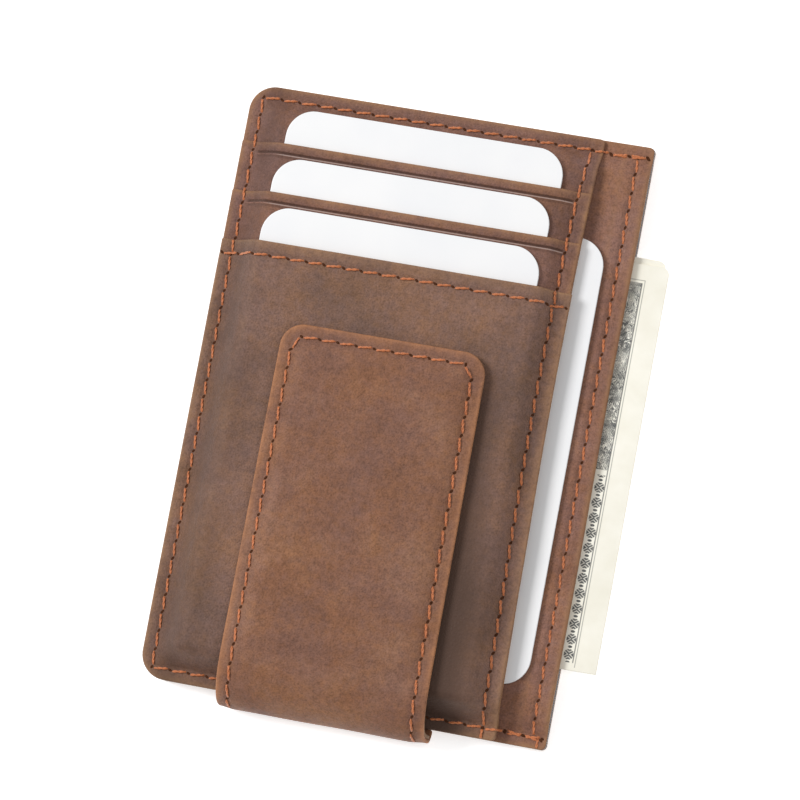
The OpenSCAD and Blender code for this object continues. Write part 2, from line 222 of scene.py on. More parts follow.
class Nodes:
    """Short ways to wire a material."""

    def __init__(self, name):
        self.material = bpy.data.materials.new(name)
        self.material.use_nodes = True
        self.tree = self.material.node_tree
        self.shader = self.tree.nodes["Principled BSDF"]
        self.place = self.add("ShaderNodeTexCoord").outputs["Object"]

    def add(self, kind, **settings):
        node = self.tree.nodes.new(kind)
        for key, value in settings.items():
            setattr(node, key, value)
        return node

    def link(self, source, socket):
        self.tree.links.new(source, socket)

    def set(self, socket, value):
        if isinstance(value, (int, float, tuple)):
            socket.default_value = value
        else:
            self.link(value, socket)

    def moved(self, shift=(0, 0, 0), scale=(1, 1, 1)):
        node = self.add("ShaderNodeMapping")
        node.inputs["Location"].default_value = shift
        node.inputs["Scale"].default_value = scale
        self.link(self.place, node.inputs["Vector"])
        return node.outputs["Vector"]

    def noise(self, size_mm, detail=3.0, rough=0.5, place=None, twist=0.0):
        node = self.add("ShaderNodeTexNoise")
        self.link(place or self.place, node.inputs["Vector"])
        node.inputs["Scale"].default_value = 1 / (size_mm * MM)
        node.inputs["Detail"].default_value = detail
        node.inputs["Roughness"].default_value = rough
        node.inputs["Distortion"].default_value = twist
        return node.outputs["Fac"]

    def cells(self, size_mm, place):
        node = self.add("ShaderNodeTexVoronoi", feature="DISTANCE_TO_EDGE")
        self.link(place, node.inputs["Vector"])
        node.inputs["Scale"].default_value = 1 / (size_mm * MM)
        return node.outputs["Distance"]

    def ramp(self, value, *stops):
        node = self.add("ShaderNodeValToRGB")
        bar = node.color_ramp.elements
        while len(bar) < len(stops):
            bar.new(0.5)
        for element, (at, tone) in zip(bar, stops):
            element.position = at
            shade = tone if isinstance(tone, tuple) else (tone,) * 3
            element.color = (*shade, 1)
        self.link(value, node.inputs["Fac"])
        return node.outputs["Color"]

    def mix(self, factor, a, b, way="MIX"):
        node = self.add("ShaderNodeMix", data_type="RGBA", blend_type=way)
        for socket, value in ((node.inputs[0], factor), (node.inputs[6], a), (node.inputs[7], b)):
            self.set(socket, (*value, 1) if isinstance(value, tuple) else value)
        return node.outputs[2]

    def sum(self, a, b, way="ADD", clamp=False):
        node = self.add("ShaderNodeMath", operation=way, use_clamp=clamp)
        self.set(node.inputs[0], a)
        if b is not None:
            self.set(node.inputs[1], b)
        return node.outputs[0]

    def scaled(self, value, low, high, to_low, to_high):
        node = self.add("ShaderNodeMapRange", clamp=True)
        self.link(value, node.inputs["Value"])
        ends = {"From Min": low, "From Max": high, "To Min": to_low, "To Max": to_high}
        for key, number in ends.items():
            node.inputs[key].default_value = number
        return node.outputs[0]

    def value_on(self, name):
        return self.add("ShaderNodeAttribute", attribute_name=name).outputs["Fac"]

    def bump(self, height, depth_mm, strength=1.0, onto=None):
        node = self.add("ShaderNodeBump")
        node.inputs["Strength"].default_value = strength
        node.inputs["Distance"].default_value = depth_mm * MM
        self.link(height, node.inputs["Height"])
        if onto is not None:
            self.link(onto, node.inputs["Normal"])
        return node.outputs["Normal"]


# Tone of a painted highlight.
painted_highlight_tone = (0.46, 0.36, 0.33)


def oiled_leather(name, tones, tan, shift):
    """Waxed pull-up hide: cloudy dark and light oil, fine grain, worn tan edges."""
    n = Nodes(name)
    place = n.moved(shift)
    broad = n.noise(26, 3, 0.5, place, 0.4)
    patch = n.noise(6.5, 5, 0.62, place, 0.3)
    fleck = n.noise(1.1, 4, 0.6, place)
    fine = n.noise(0.34, 3, 0.6, place)
    cloudy = n.sum(n.sum(broad, 0.62, "MULTIPLY"), n.sum(patch, 0.38, "MULTIPLY"))
    dark, middle, light = tones
    tone = n.ramp(cloudy, (0.36, dark), (0.5, middle), (0.63, light))
    speck = n.ramp(fleck, (0.3, 0.84), (0.5, 1.0), (0.72, 1.14))
    tone = n.mix(1.0, tone, speck, "MULTIPLY")
    pores = n.ramp(fine, (0.34, 0.74), (0.5, 1.0), (0.7, 1.14))
    tone = n.mix(1.0, tone, pores, "MULTIPLY")
    warmth = n.sum(n.noise(1.6, 4, 0.65, n.moved((0.2, 0.5, 0.1))), n.noise(11, 2, 0.5, place))
    warm = n.ramp(
        n.sum(warmth, 0.5, "MULTIPLY"),
        (0.38, (0.95, 1.0, 1.12)), (0.5, (1, 1, 1)), (0.62, (1.05, 0.99, 0.84)),
    )
    tone = n.mix(1.0, tone, warm, "MULTIPLY")
    uneven = n.sum(
        n.scaled(fleck, 0.3, 0.7, 0.5, 1.15), n.scaled(patch, 0.35, 0.65, 0.55, 1.2), "MULTIPLY"
    )
    worn = n.sum(n.value_on("wear"), uneven, "MULTIPLY", True)
    tone = n.mix(worn, tone, tan)
    pressed = n.value_on("press")
    tone = n.mix(pressed, tone, tuple(0.42 * c for c in dark))
    # Painted shade from the painted light value, and a painted highlight where it is below 0.
    painted_light_amount = n.value_on("painted_light")
    tone = n.mix(n.sum(painted_light_amount, 0.5, "MULTIPLY", True), tone, tuple(0.5 * c for c in dark))
    tone = n.mix(n.sum(painted_light_amount, -1.0, "MULTIPLY", True), tone, painted_highlight_tone)
    n.link(tone, n.shader.inputs["Base Color"])
    matt = n.scaled(patch, 0.3, 0.7, 0.66, 0.5)
    n.link(n.sum(matt, n.sum(pressed, -0.22, "MULTIPLY")), n.shader.inputs["Roughness"])
    n.shader.inputs["Specular IOR Level"].default_value = 0.15
    crease = n.cells(0.62, place)
    skin = n.sum(n.scaled(crease, 0.0, 0.35, 0.0, 1.0), n.sum(fine, 0.8, "MULTIPLY"))
    normal = n.bump(skin, 0.045, 0.8)
    normal = n.bump(patch, 0.35, 0.35, normal)
    n.link(normal, n.shader.inputs["Normal"])
    return n.material


body_tones = ((0.165, 0.083, 0.059), (0.218, 0.111, 0.076), (0.266, 0.139, 0.094))
worn_tan = (0.313, 0.163, 0.083)
panel_leather = oiled_leather("panel_leather", body_tones, worn_tan, (0.31, 0.12, 0.07))

wallet_plate = Plate(left, right, bottom, top, wallet_corners)
seam_in = 2.3
back_channel = 0.38


def from_sewn(x, y):
    """Distance from the nearest of the three sewn sides."""
    return np.minimum(x - left, np.minimum(y - bottom, top - y))


def channel(d, middle, half_width):
    """1 at the middle of a channel, falling away to 0 at its sides."""
    t = np.clip(np.abs(d - middle) / half_width, 0, 1)
    return (1 - t * t) ** 2


def back_outer(x, y):
    return back_low + back_channel * channel(from_sewn(x, y), seam_in, 0.9)


back = cut_piece(
    "back_hide", wallet_plate, back_outer, lambda x, y: back_high + 0 * x, panel_leather, step=1.6
)


def sewn_in(piece, node):
    """Rides on the wallet in place of the plain solid of the same part."""
    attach(piece, "wallet_body")
    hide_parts(node)


sewn_in(back, "back_panel")

# ----------------------------------------------------------------------------
# Linings: a woven metallised shield cloth glued inside the back panel, and thin
# brown lining cloth on the back of the base panel, below the slot strips and
# behind the front panel. All are caught in the seams and hidden when sewn up.
# ----------------------------------------------------------------------------


def woven_cloth(name, warp, weft, metal):
    """Plain weave with two thread colours."""
    n = Nodes(name)
    across = n.add("ShaderNodeTexWave", wave_type="BANDS", bands_direction="X")
    along = n.add("ShaderNodeTexWave", wave_type="BANDS", bands_direction="Y")
    for wave in (across, along):
        n.link(n.place, wave.inputs["Vector"])
        wave.inputs["Scale"].default_value = 700
        wave.inputs["Distortion"].default_value = 0.6
    over = n.sum(across.outputs["Fac"], along.outputs["Fac"], "MULTIPLY")
    tone = n.mix(over, warp, weft)
    tone = n.mix(0.4, tone, n.ramp(n.noise(3), (0.3, 0.8), (0.7, 1.1)), "MULTIPLY")
    n.link(tone, n.shader.inputs["Base Color"])
    n.link(n.scaled(over, 0, 1, 0.75, 0.5), n.shader.inputs["Roughness"])
    n.shader.inputs["Metallic"].default_value = metal
    n.link(n.bump(over, 0.05, 0.6), n.shader.inputs["Normal"])
    return n.material


shield_cloth = woven_cloth("shield_cloth", (0.35, 0.35, 0.37), (0.55, 0.55, 0.57), 0.6)
lining_cloth = woven_cloth("lining_cloth", (0.032, 0.021, 0.017), (0.07, 0.047, 0.038), 0.0)

skived = 0.55
cloth_t, cloth_in = 0.15, 0.4
_, (stack_right, _, backing_top) = reach("slot_backing_panel")
stack_draw = np.array([
    (0, 0.0), (8, 0.06), (20, 0.26), (32, 0.56), (44, 0.86), (56, 1.03),
    (68, 1.08), (80, 1.0), (92, 0.84), (102, 0.6), (110, 0.32), (116, 0.1),
])


def stack_drawn_in(y):
    """The open side of the card stack is drawn in where the cards pull on it."""
    up = np.clip(y - bottom, 0, stack_draw[-1, 0])
    total = 0
    for shift in (-5, -2.5, 0, 2.5, 5):
        total = total + np.interp(up + shift, stack_draw[:, 0], stack_draw[:, 1])
    return total / 5


def sewn_round(x, y):
    """0 at the three sewn sides of the wallet, 1 in its raised middle."""
    return slope(x - left, 2.5, 5.6) * slope(y - bottom, 2.8, 3.7) * slope(top - y, 2.9, 3.6)


def sewn_right(x, y):
    """0 at the card stack's open seam, 1 in its raised middle."""
    return slope(stack_right - stack_drawn_in(y) - x, 2.4, 3.0)


class Layer:
    """Heights of a layer from its seam levels, its raised level and thicknesses."""

    def __init__(self, node, thin, thick, side=None):
        (_, _, self.edge), (_, _, raised_top) = reach(node)
        self.mid = raised_top - thick
        self.side, self.thin, self.thick = side, thin, thick

    def raised(self, x, y):
        a = sewn_round(x, y)
        return a if self.side is None else a * sewn_right(x, y)

    def low(self, x, y):
        inner = self.mid
        if self.side is not None:
            inner = self.side + (self.mid - self.side) * sewn_right(x, y)
        return self.edge + sewn_round(x, y) * (inner - self.edge)

    def high(self, x, y):
        return self.low(x, y) + self.thin + (self.thick - self.thin) * self.raised(x, y)


side_level = [backing_top, backing_top + skived, backing_top + 2 * skived]
side_level.append(side_level[2] + cloth_t)


def lining(name, node, layer, x1, y1, corners, in_right):
    """Cloth from just inside the closed side and the bottom up to x1 and y1."""
    x0, y0 = left + cloth_in, bottom + cloth_in
    plate = Plate(x0, x1, y0, y1, corners, in_right=in_right)
    cloth = cut_piece(name, plate, layer.low, layer.high, lining_cloth, 0.05, 3)
    sewn_in(cloth, node)


nodes = frame["nodes"]


def new_finish(node, material):
    """A part that keeps its own solid takes a finish."""
    nodes[node].data.materials.clear()
    nodes[node].data.materials.append(material)


new_finish("back_shield_lining", shield_cloth)
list(reach("back_shield_lining"))

_, (cash_right, _, _) = reach("cash_pocket_lining")
lining(
    "cash_pocket_cloth", "cash_pocket_lining", Layer("cash_pocket_lining", cloth_t, cloth_t),
    cash_right, top - cloth_in, (4.6, 0.4, 0.4, 4.6), None,
)

# ----------------------------------------------------------------------------
# Base panel: the leather between the cash pocket and the side card slot. Its
# open side is turned under and stitched down as a rolled hem, with the thread
# lying in a pressed line, and it shows to the right of the card stack.
# ----------------------------------------------------------------------------
base_layer = Layer("base_panel", skived, 1.0)
hem_w, hem_t, hem_seam_in = 5.5, 0.45, 2.9


def drape_wave(x, y, size=1.0):
    """Slight unevenness of hand-cut hide."""
    return size * (
        0.045 * np.sin(x / 5.3 + 0.7) * np.sin(y / 8.1 + 1.9)
        + 0.03 * np.sin(x / 2.9 - y / 4.7 + 0.4) + 0.025 * np.sin(y / 3.1 + x / 11.0)
    )


base_plate = Plate(
    left, right, bottom, top, wallet_corners,
    in_right=lambda y: 0.12 + 0.12 * np.sin(y / 13.0 + 0.5) * np.sin((y - bottom) / 37.0),
)


def hem_press(x, y):
    """The hem's stitched line, between the two end seams."""
    between = rise(y - bottom, 3.0, 1.5) * rise(top - y, 3.0, 1.5)
    return channel(right - x, hem_seam_in, 0.75) * between


def base_high(x, y):
    step_in = 0.16 * rise(right - x, hem_w - 0.3, 0.7)
    return (
        base_layer.high(x, y) - 0.08 + drape_wave(x, y, 0.7) - 0.42 * hem_press(x, y)
        - 0.14 * channel(from_sewn(x, y), seam_in, 0.8) - step_in
    )


def base_low(x, y):
    """The turned-under leather thickens the open side from below."""
    turned = rise(hem_w - (right - x), 0, 0.5) * base_layer.raised(x, y)
    return base_layer.low(x, y) - hem_t * turned


def hem_wear(x, y):
    outer = rise(1.5 - (right - x), 0, 1.2)
    return np.maximum(0.75 * outer, 0.28 * channel(right - x, hem_w, 0.8))


# The base leather is a little lighter than the other pieces: partly its own tone, partly painted
# light that lifts it in the card stack's shade.
base_leather = oiled_leather(
    "base_leather", ((0.201, 0.097, 0.066), (0.244, 0.119, 0.080), (0.289, 0.147, 0.100)),
    worn_tan, (0.77, 0.41, 0.2),
)
base = cut_piece(
    "base_hide", base_plate, base_low, base_high, base_leather, 0.5, 1.2,
    wear=hem_wear, press=lambda x, y: 0.25 * hem_press(x, y),
)
sewn_in(base, "base_panel")

# ----------------------------------------------------------------------------
# Card stack: a backing panel, two slot strips and the front pocket panel of oiled
# cowhide, sewn at the closed side and at the stack's open side. Each strip has a
# light bead at its top edge, a hot-creased line below it and lining cloth behind.
# ----------------------------------------------------------------------------
pocket_t, front_t, front_skived = 0.8, 1.2, 0.7
stack_in = 2.55


def stack_plate(y0, y1, corners):
    return Plate(left, stack_right, y0, y1, corners, in_right=stack_drawn_in)


def seam_dip(x, y):
    """The thread pulls the leather down along the stitched sides of the stack."""
    side = channel(stack_right - stack_drawn_in(y) - x, stack_in, 0.8)
    return 0.16 * np.maximum(side, channel(from_sewn(x, y), seam_in, 0.8))


backing_layer = Layer("slot_backing_panel", skived, pocket_t)
backing_plate = stack_plate(bottom, top, wallet_corners)


def backing_high(x, y):
    return backing_layer.high(x, y) - 0.03 + drape_wave(x, y, 0.4) - seam_dip(x, y)


def closed_side_painted_shade(x, y):
    """Painted shade on the slope beside the closed side, which faces the window light."""
    return channel(x - left, 5.2, 4.2)


slot_leather = oiled_leather(
    "slot_leather", ((0.164, 0.084, 0.062), (0.213, 0.109, 0.080), (0.261, 0.135, 0.096)),
    worn_tan, (0.15, 0.63, 0.4),
)
backing = cut_piece(
    "slot_backing_hide", backing_plate, backing_layer.low, backing_high, slot_leather, 0.35, 1.2,
    painted_light=closed_side_painted_shade,
)
sewn_in(backing, "slot_backing_panel")

bead_w, crease_at = 1.45, 1.95
square_cut = (0.3,) * 4
stack_cloth_corners = (4.6, 0.4, 0.3, 0.3)
strips = []


def between_ends(x, y):
    """1 along a strip's edge, 0 where its two ends are sewn down."""
    return rise(x - left, 3.0, 0.8) * rise(stack_right - stack_drawn_in(y) - x, 2.6, 0.8)


for number in (1, 2):
    (_, strip_y0, _), (_, strip_y1, _) = reach(f"slot_strip_{number}")
    strip_layer = Layer(f"slot_strip_{number}", skived, pocket_t, side_level[number - 1])

    def below_edge(y, y1=strip_y1):
        return y1 - y

    def strip_high(x, y, layer=strip_layer, down=below_edge):
        d = down(y)
        bead = 0.13 * channel(d, 0.75, 0.85)
        pressed = 0.28 * channel(d, crease_at, 0.38) + 0.1 * channel(d, crease_at + 0.75, 0.3)
        relief = between_ends(x, y) * (bead - pressed - 0.12 * (1 - rise(d, 2.6, 2.4)))
        return layer.high(x, y) - 0.03 + drape_wave(x, y, 0.4) - seam_dip(x, y) + relief

    def strip_wear(x, y, down=below_edge):
        return 0.3 * rise(bead_w - down(y), 0, 0.5)

    # Painted shade on the closed side's slope, less a painted highlight along the crease's lower
    # lip.
    def strip_painted_light(x, y, down=below_edge):
        glint = 0.75 * channel(down(y), crease_at + 0.36, 0.17) * between_ends(x, y)
        return closed_side_painted_shade(x, y) - glint

    def strip_press(x, y, down=below_edge):
        d = down(y)
        return between_ends(x, y) * (
            0.95 * channel(d, crease_at, 0.36) + 0.45 * channel(d, crease_at + 0.8, 0.35)
        )

    strip_rows = [strip_y1 - strip_y0 - v for v in np.arange(0.5, 3.4, 0.11)]
    strip = cut_piece(
        f"slot_strip_hide_{number}", stack_plate(strip_y0, strip_y1, square_cut),
        strip_layer.low, strip_high, slot_leather, 0.34, 1.2, strip_rows, strip_wear, strip_press,
        painted_light=strip_painted_light,
    )
    sewn_in(strip, f"slot_strip_{number}")
    strips.append((strip_y0, strip_y1, strip_high))

    lining(
        f"slot_cloth_{number}", f"slot_lining_{number}",
        Layer(f"slot_lining_{number}", skived, skived, side_level[number - 1]),
        stack_right - cloth_in, strip_y0, stack_cloth_corners, stack_drawn_in,
    )

front_layer = Layer("front_pocket_panel", front_skived, front_t, side_level[3])
_, (_, front_y1, _) = reach("front_pocket_panel")
(clip_x0, _, _), (clip_x1, clip_tip, _) = reach("clip_outer_leather")
edge_row_in = 2.75


def front_high(x, y):
    edge_row = channel(front_y1 - y, edge_row_in, 0.8)
    return (
        front_layer.high(x, y) + drape_wave(x, y, 1.3)
        - np.maximum(seam_dip(x, y), 0.16 * edge_row)
    )


def front_wear(x, y):
    top_edge = 0.42 * rise(2.1 - (front_y1 - y), 0, 1.2)
    side = 0.5 * rise(1.6 - (stack_right - stack_drawn_in(y) - x), 0, 1.2)
    shoulder = 0.16 * channel(x - left, 8.4, 1.2) * rise(y - bottom, 6, 10)
    return np.maximum(np.maximum(top_edge, side), shoulder)


def front_painted_shade(x, y):
    """Painted shade on and beside the closed side's slope, and a painted shadow of the
    clip that reaches out past its right edge, deeper towards the fold.
    """
    from_tip = clip_tip - y
    lower = rise(from_tip, 15, 40)
    painted_clip_shadow = 1 - rise(x, clip_x1 - 0.2 + 2.4 * lower, 7.4 + 3.4 * lower)
    strength = (1.45 + 0.5 * lower) * rise(from_tip, -1.5, 13) * rise(x, clip_x1 - 17, 16)
    beside = 0.55 * channel(x - left, 9.5, 6.5) * rise(from_tip, -6, 16)
    return closed_side_painted_shade(x, y) + beside + strength * painted_clip_shadow


front_leather = oiled_leather(
    "front_leather", ((0.158, 0.091, 0.066), (0.203, 0.112, 0.079), (0.248, 0.135, 0.092)),
    (0.301, 0.168, 0.092), (0.52, 0.27, 0.9),
)
front_plate = Plate(
    left, stack_right, bottom, front_y1, (closed_corner, open_corner, 0.3, 0.3),
    in_right=lambda y: np.maximum(stack_drawn_in(y) - 0.4 * rise(y - bottom, 4, 40), 0),
)
front = cut_piece(
    "front_pocket_hide", front_plate, front_layer.low, front_high, front_leather, 0.5, 1.2,
    wear=front_wear, painted_light=front_painted_shade,
)
sewn_in(front, "front_pocket_panel")

lining(
    "front_pocket_cloth", "front_pocket_lining",
    Layer("front_pocket_lining", cloth_t, cloth_t, side_level[2]),
    stack_right - cloth_in, front_y1 - 0.6, stack_cloth_corners, stack_drawn_in,
)


def wallet_top(x, y):
    """Height of the outermost leather on the wallet's front."""
    x, y = np.asarray(x, float), np.asarray(y, float)
    z = base_high(x, y)
    covers = [(backing_plate, backing_high)]
    covers += [(stack_plate(y0, y1, square_cut), high) for y0, y1, high in strips]
    covers.append((front_plate, front_high))
    for plate, high in covers:
        z = np.where(plate.holds(x, y), np.maximum(z, high(x, y)), z)
    return z


# ----------------------------------------------------------------------------
# Money clip: two leathers sewn together round a board and two disc magnets. The
# outer one starts in the bottom seam, turns round the wallet's edge and lies over
# the front, where two more magnets are set.
# ----------------------------------------------------------------------------
_, (_, _, clip_mid) = reach("clip_inner_leather")
(_, _, fold_low), _ = reach("strap_fold")
(_, core_y0, core_low), (_, _, core_high) = reach("clip_stiffener")
joint = next(j for j in frame["record"]["behaviour"]["joints"] if j["name"] == "clip_fold")
hinge_y, hinge_z = joint["pos_m"][1] / MM, joint["pos_m"][2] / MM
outer_t, outer_skived, inner_t = 1.1, 0.8, 0.8
fold_inner_r, straight_from = 1.8, 8.2


def bezier(p0, p1, p2, p3, count):
    t = np.linspace(0, 1, count)[:, None]
    p0, p1, p2, p3 = (np.array(p, float) for p in (p0, p1, p2, p3))
    return (
        (1 - t) ** 3 * p0 + 3 * (1 - t) ** 2 * t * p1 + 3 * (1 - t) * t * t * p2 + t ** 3 * p3
    )


fold_angles = np.radians(np.linspace(272, 180, 40))
fold_arc = np.stack([
    hinge_y + fold_inner_r * np.cos(fold_angles), hinge_z + fold_inner_r * np.sin(fold_angles)
], -1)
fold_rise = bezier(
    (hinge_y - fold_inner_r, hinge_z), (hinge_y - fold_inner_r, hinge_z + 4.4),
    (hinge_y + 1.4, clip_mid), (hinge_y + straight_from, clip_mid), 60,
)
strap_run = np.array([
    (y, clip_mid) for y in np.linspace(hinge_y + straight_from, clip_tip, 120)
])
strap_line = np.concatenate([fold_arc, fold_rise[1:], strap_run[1:]])
strap_s = np.concatenate([[0], np.cumsum(np.hypot(*np.diff(strap_line, axis=0).T))])
strap_length = strap_s[-1]
heading = np.gradient(strap_line, strap_s, axis=0)
heading /= np.linalg.norm(heading, axis=1)[:, None]


def strap_point(x, s, h):
    """A point h above the line between the two leathers, s along it from the seam."""
    y, z = (np.interp(s, strap_s, strap_line[:, i]) for i in (0, 1))
    ty, tz = (np.interp(s, strap_s, heading[:, i]) for i in (0, 1))
    return x, y - tz * h, z + ty * h


def strap_y(s):
    return np.interp(s, strap_s, strap_line[:, 0])


def narrowed_left(s):
    return 0.05 + 0.25 * s / strap_length


def narrowed_right(s):
    under = rise(6.5 - s, 0, 4)
    return -0.35 + 0.5 * s / strap_length - 0.5 * under


tip_r = 4.5
strap_plate = Plate(
    clip_x0, clip_x1, 0, strap_length, (0.4, 0.4, tip_r, tip_r), narrowed_left, narrowed_right
)
clip_seam_in = 2.35


def clip_inset(x, s):
    """Distance from the sides and the tip, not from the fold."""
    return strap_plate.inset(x, np.maximum(s, 0.4 * strap_length))


def over_core(x, s):
    return slope(clip_inset(x, s), 1.9, 3.3) * rise(strap_y(s), core_y0 - 4.5, 4.5)


def outer_low(x, s):
    return (core_high - core_low) * over_core(x, s)


def clip_seam_channel(x, s):
    return channel(clip_inset(x, s), clip_seam_in, 0.75) * rise(s, 3, 2)


def outer_high(x, s):
    thickness = outer_skived + (outer_t - outer_skived) * rise(clip_inset(x, s), 0, 3.2)
    return (
        outer_low(x, s) + thickness + drape_wave(x, 1.1 * s + 9, 1.0)
        - 0.18 * clip_seam_channel(x, s)
    )


def clip_wear(x, s):
    d = clip_inset(x, s)
    # Edges wear tan all round; the left edge is lightened more, as painted light on the side the
    # window lights.
    left_half = x < (clip_x0 + clip_x1) / 2
    strength = np.where(left_half, 0.62, 0.5)
    shoulder = 0.12 * channel(d, 4.2, 1.0)
    return np.maximum(strength * rise(1.7 - d, 0, 1.5), shoulder)


clip_leather = oiled_leather(
    "clip_leather", ((0.184, 0.090, 0.061), (0.224, 0.107, 0.067), (0.264, 0.131, 0.078)),
    (0.395, 0.177, 0.085), (0.05, 0.88, 0.33),
)
clip_outer = cut_piece(
    "clip_outer_hide", strap_plate, outer_low, outer_high, clip_leather, 0.5, 1.1,
    list(np.arange(0.3, 17, 0.35)), clip_wear, None, strap_point,
)
lean = math.radians(60)
bend_from, bend_to = -4.2, 11.0
bend = [
    (0, (hinge_y + d * math.cos(lean)) * MM, (hinge_z + d * math.sin(lean)) * MM)
    for d in (bend_from, bend_to)
]


def bends_open(piece):
    """Bakes the piece's placement into its mesh."""
    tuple(bend[0])
    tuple(bend[1])
    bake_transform(piece)


bends_open(clip_outer)
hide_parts("clip_outer_leather", "strap_fold")

inner_start = 2.2
inner_plate = Plate(
    clip_x0 + 0.1, clip_x1 - 0.1, inner_start, strap_length - 0.12, (0.4, 0.4, tip_r, tip_r),
    narrowed_left, narrowed_right,
)
inner_leather = oiled_leather(
    "inner_leather", ((0.100, 0.059, 0.042), (0.147, 0.088, 0.061), (0.189, 0.116, 0.080)),
    (0.289, 0.165, 0.083), (0.66, 0.02, 0.51),
)
clip_inner = cut_piece(
    "clip_inner_hide", inner_plate, lambda x, s: -inner_t + 0.0 * x, lambda x, s: -0.01 + 0.0 * x,
    inner_leather, 0.34, 1.2, list(np.arange(0.3, 15, 0.35)), place=strap_point,
)
bends_open(clip_inner)
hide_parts("clip_inner_leather")

tail_t = 0.58
tail = cut_piece(
    "strap_tail_hide", Plate(clip_x0 + 0.1, clip_x1 + 0.4, hinge_y - 0.05, bottom + 9, square_cut),
    lambda x, y: fold_low + 0 * x, lambda x, y: fold_low + tail_t + 0 * x, clip_leather, 0.25, 1.5,
)
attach(tail, "wallet_body")


def pressed_board(name):
    """Grey-brown fibre board."""
    n = Nodes(name)
    fibre = n.noise(1.2, 5, 0.7, n.moved(scale=(1, 0.2, 1)))
    tone = n.ramp(fibre, (0.3, (0.08, 0.06, 0.05)), (0.7, (0.16, 0.13, 0.11)))
    n.link(tone, n.shader.inputs["Base Color"])
    n.shader.inputs["Roughness"].default_value = 0.85
    n.link(n.bump(fibre, 0.05, 0.5), n.shader.inputs["Normal"])
    return n.material


def plated_disc(name):
    """Nickel plating with fine turning marks."""
    n = Nodes(name)
    marks = n.noise(0.5, 4, 0.6, n.moved(scale=(1, 12, 1)))
    tone = n.ramp(marks, (0.3, (0.42, 0.43, 0.44)), (0.7, (0.56, 0.57, 0.58)))
    n.link(tone, n.shader.inputs["Base Color"])
    n.shader.inputs["Metallic"].default_value = 1.0
    n.link(n.scaled(marks, 0.3, 0.7, 0.24, 0.42), n.shader.inputs["Roughness"])
    n.link(n.bump(marks, 0.01, 0.3), n.shader.inputs["Normal"])
    return n.material


fibre_board = pressed_board("fibre_board")
magnet_plating = plated_disc("magnet_plating")
for node, material in (
    ("clip_stiffener", fibre_board), ("clip_magnets", magnet_plating),
    ("front_magnets", magnet_plating),
):
    new_finish(node, material)
    rounded = nodes[node].modifiers.new("eased_edges", "BEVEL")
    rounded.width = 0.12 * MM
    rounded.segments = 2

# ----------------------------------------------------------------------------
# Stitching: two-ply waxed orange polyester thread in a lockstitch at about 3.5
# mm. Each stitch leans a little across its row and dives into slanted awl holes,
# whose mouths are dark discs of painted shade. Seam ends are sewn twice or
# carried over the edge.
# ----------------------------------------------------------------------------
pitch = 3.5
ply_r, ply_off, ply_turn = 0.165, 0.11, 2.6
lean_across = 0.2
hole_long, hole_short, hole_slant = 0.42, 0.25, -30
chance = random.Random(11)


def thread_material():
    n = Nodes("waxed_thread")
    strand = n.noise(0.22, 3, 0.6)
    dye = n.noise(9, 2)
    tone = n.ramp(
        strand,
        (0.3, (0.35, 0.095, 0.028)), (0.5, (0.51, 0.152, 0.045)), (0.72, (0.65, 0.218, 0.075)),
    )
    tone = n.mix(0.5, tone, n.ramp(dye, (0.35, 0.85), (0.65, 1.1)), "MULTIPLY")
    n.link(tone, n.shader.inputs["Base Color"])
    n.link(n.scaled(strand, 0.3, 0.7, 0.6, 0.42), n.shader.inputs["Roughness"])
    n.shader.inputs["Sheen Weight"].default_value = 0.2
    n.link(n.bump(strand, 0.04, 0.6), n.shader.inputs["Normal"])
    return n.material


# The dark inside of an awl hole, as painted shade.
def hole_shade_material():
    n = Nodes("awl_hole_shade")
    depth = n.noise(0.4, 3)
    tone = n.ramp(depth, (0.3, (0.045, 0.016, 0.007)), (0.7, (0.085, 0.032, 0.015)))
    n.link(tone, n.shader.inputs["Base Color"])
    n.shader.inputs["Roughness"].default_value = 0.9
    n.shader.inputs["Specular IOR Level"].default_value = 0.05
    n.link(n.bump(depth, 0.03, 0.4), n.shader.inputs["Normal"])
    return n.material


waxed_thread = thread_material()
awl_hole_shade = hole_shade_material()


def wallet_place(x, y, h):
    return x, y, wallet_top(x, y) + h


def back_place(x, y, h):
    return x, y, back_outer(x, y) - h


